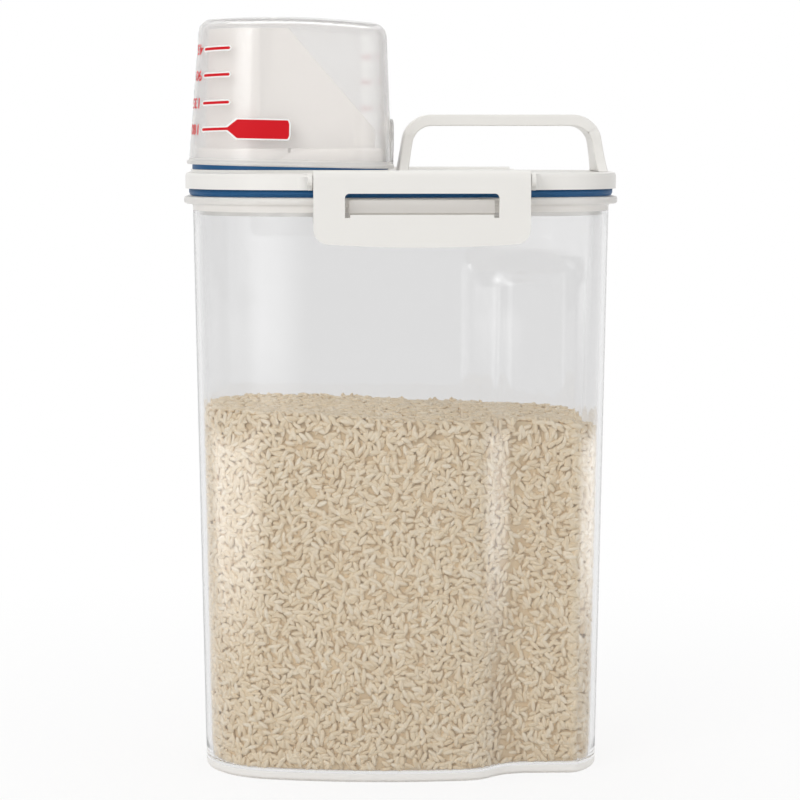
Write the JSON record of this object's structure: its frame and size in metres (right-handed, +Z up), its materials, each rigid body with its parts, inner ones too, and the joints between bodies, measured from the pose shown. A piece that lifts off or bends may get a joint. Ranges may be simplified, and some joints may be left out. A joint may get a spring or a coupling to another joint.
{
  "type": "pour spout storage jar",
  "caption": "Clear upright grain jar with a clipped white lid, a tall slanted pour spout under a clear measuring cup, and a carrying handle arch.",
  "frame": {"origin": "middle of the base, on the surface that the jar stands on", "axes": "+Z up; +X towards the handle end, so the spout and cup are at -X; +Y to the back. The front (-Y) and the back are alike."},
  "size_m": [0.1648, 0.1096, 0.2869],
  "materials": {
    "clear_jar": "gloss",
    "clear_cup": "gloss",
    "white_plastic": "satin",
    "milky_plastic": "satin",
    "blue_silicone": "satin",
    "rice": "matte"
  },
  "bodies": {
    "jar": {"jar_body": "clear_jar", "rice_fill": "rice"},
    "lid": {"lid_shell": "white_plastic", "lid_gasket": "blue_silicone", "spout": "milky_plastic", "cup_seal": "blue_silicone", "handle": "white_plastic"},
    "cup": {"measuring_cup": "clear_cup"},
    "clip_front": {"clip_front": "white_plastic"},
    "clip_rear": {"clip_rear": "white_plastic"}
  },
  "joints": [
    {"name": "lid_lift", "type": "slide", "parent": "jar", "child": "lid", "axis": [0, 0, 1], "range_m": [0, 0.05]},
    {"name": "cup_lift", "type": "slide", "parent": "lid", "child": "cup", "axis": [0, 0, 1], "range_m": [0, 0.06]},
    {"name": "clip_front_hinge", "type": "hinge", "parent": "lid", "child": "clip_front", "pos_m": [0.0063, -0.0515, 0.2263], "axis": [-1, 0, 0], "range_deg": [0, 150]},
    {"name": "clip_rear_hinge", "type": "hinge", "parent": "lid", "child": "clip_rear", "pos_m": [0.0063, 0.0515, 0.2263], "axis": [1, 0, 0], "range_deg": [0, 150]}
  ]
}
